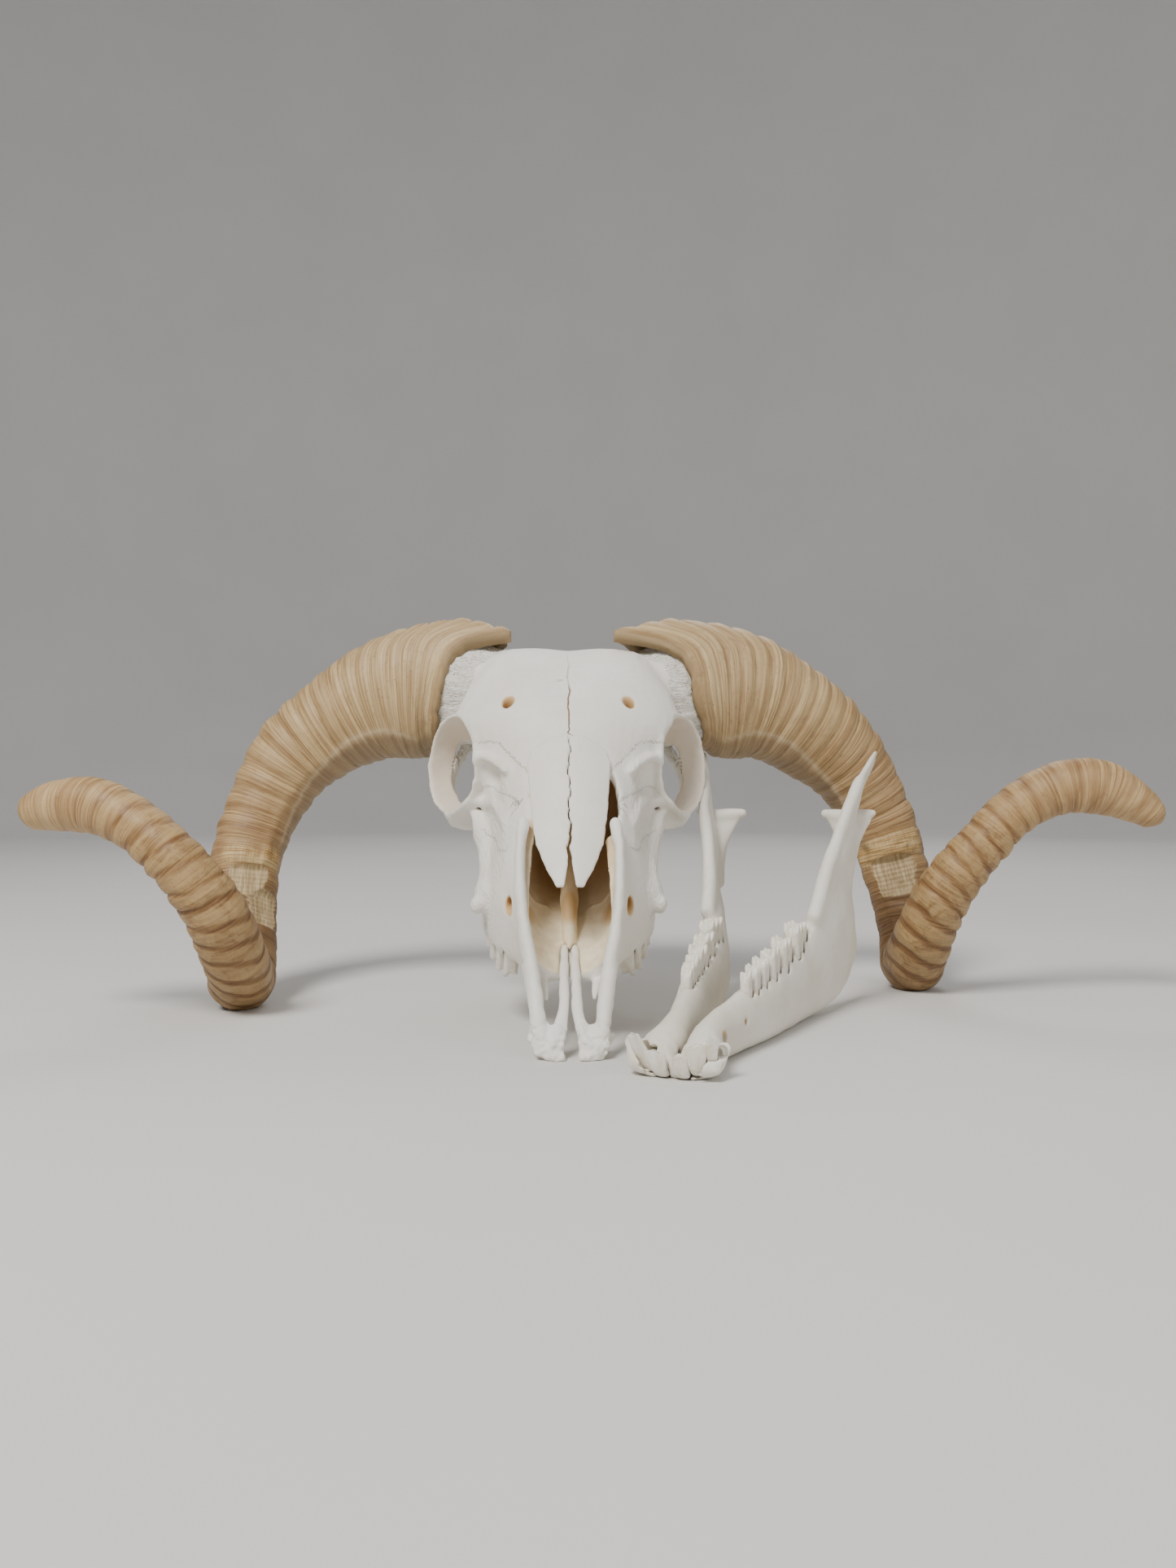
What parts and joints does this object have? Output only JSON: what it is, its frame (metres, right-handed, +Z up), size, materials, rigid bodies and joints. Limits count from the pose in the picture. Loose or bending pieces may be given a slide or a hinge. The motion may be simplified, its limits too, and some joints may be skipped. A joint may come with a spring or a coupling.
{
  "type": "ram skull with horns",
  "caption": "Merino ram skull resting on its muzzle and curled ridged horns, with its loose lower jaw lying beside it.",
  "frame": {"origin": "on the table under the middle of the whole group", "axes": "+X across the horns to the right as the face is met, the face looks along -Y, +Z up from the table"},
  "size_m": [0.5653, 0.2717, 0.1998],
  "materials": {
    "bone": "matt",
    "horn": "satin",
    "tooth": "satin"
  },
  "bodies": {
    "root": {"cranium": "bone", "horn_sheath_left": "horn", "horn_sheath_right": "horn", "incisor_left_1": "tooth", "incisor_left_2": "tooth", "incisor_right_1": "tooth", "incisor_right_2": "tooth", "incisor_right_3": "tooth", "lower_tooth_left_1": "tooth", "lower_tooth_left_2": "tooth", "lower_tooth_left_3": "tooth", "lower_tooth_left_4": "tooth", "lower_tooth_left_5": "tooth", "lower_tooth_left_6": "tooth", "lower_tooth_right_1": "tooth", "lower_tooth_right_2": "tooth", "lower_tooth_right_3": "tooth", "lower_tooth_right_4": "tooth", "lower_tooth_right_5": "tooth", "lower_tooth_right_6": "tooth", "mandible_left": "bone", "mandible_right": "bone", "nasal_bone_left": "bone", "nasal_bone_right": "bone", "premaxilla_left": "bone", "premaxilla_right": "bone", "upper_tooth_left_1": "tooth", "upper_tooth_left_2": "tooth", "upper_tooth_left_3": "tooth", "upper_tooth_left_4": "tooth", "upper_tooth_left_5": "tooth", "upper_tooth_left_6": "tooth", "upper_tooth_right_1": "tooth", "upper_tooth_right_2": "tooth", "upper_tooth_right_3": "tooth", "upper_tooth_right_4": "tooth", "upper_tooth_right_5": "tooth", "upper_tooth_right_6": "tooth"}
  },
  "joints": []
}
